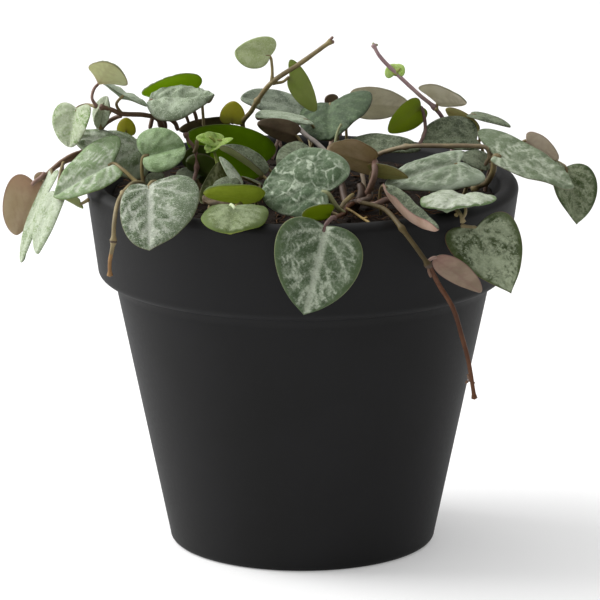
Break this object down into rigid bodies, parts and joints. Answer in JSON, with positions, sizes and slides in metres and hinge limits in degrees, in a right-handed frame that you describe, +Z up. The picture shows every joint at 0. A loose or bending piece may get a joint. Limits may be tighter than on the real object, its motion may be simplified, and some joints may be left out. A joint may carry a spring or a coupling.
{
  "type": "potted string of hearts plant",
  "caption": "Young trailing plant with small silver-mottled heart-shaped leaves on thin arching and hanging stems, rooted in dark soil in a plain tapered pot with a collar rim.",
  "frame": {"origin": "centre of the pot's underside, at the level that the pot stands on", "axes": "+Z up along the pot's axis, -Y towards the front, where the two largest leaves hang over the rim, and +X to the right seen from the front"},
  "size_m": [0.1377, 0.1165, 0.1191],
  "materials": {
    "pot": "smooth satin charcoal",
    "soil": "rough fibrous peat",
    "vine": "waxy brown and olive stems with small nodes",
    "leaf": "fleshy, waxy, silver-mottled above and olive to purple-brown below"
  },
  "bodies": {
    "root": {"leaf_arch_back": "leaf", "leaf_arch_broad": "leaf", "leaf_arch_edge": "leaf", "leaf_arch_side": "leaf", "leaf_arch_tip_pair": "leaf", "leaf_arch_under": "leaf", "leaf_back_broad": "leaf", "leaf_back_brown": "leaf", "leaf_back_pair": "leaf", "leaf_back_shaded": "leaf", "leaf_behind_centre_pair": "leaf", "leaf_behind_left_pair": "leaf", "leaf_centre_behind": "leaf", "leaf_centre_cupped": "leaf", "leaf_centre_dark": "leaf", "leaf_centre_folded": "leaf", "leaf_crown_brown": "leaf", "leaf_crown_olive": "leaf", "leaf_far_left_edge": "leaf", "leaf_far_left_pair": "leaf", "leaf_far_left_pale": "leaf", "leaf_far_right_pair": "leaf", "leaf_front_heart": "leaf", "leaf_front_left_heart": "leaf", "leaf_front_olive": "leaf", "leaf_front_pale": "leaf", "leaf_front_right_folded": "leaf", "leaf_front_round": "leaf", "leaf_front_small": "leaf", "leaf_hanging_heart": "leaf", "leaf_hanging_pink": "leaf", "leaf_left_crown": "leaf", "leaf_left_folded": "leaf", "leaf_left_streaked": "leaf", "leaf_node_pair": "leaf", "leaf_right_arched": "leaf", "leaf_right_green": "leaf", "leaf_right_low": "leaf", "leaf_right_mottled": "leaf", "leaf_right_streaked": "leaf", "leaf_right_thin_pair": "leaf", "leaf_right_young": "leaf", "leaf_rim_broad": "leaf", "leaf_silver": "leaf", "leaf_tall_green": "leaf", "leaf_tall_pale": "leaf", "pot": "pot", "shoot_brown": "vine", "shoot_lime": "vine", "soil": "soil", "vine_back_centre": "vine", "vine_back_left": "vine", "vine_far_right": "vine", "vine_left": "vine", "vine_right_arch": "vine", "vine_right_hang": "vine", "vine_right_tall": "vine", "vine_rim_right": "vine", "vine_tall": "vine"}
  },
  "joints": []
}
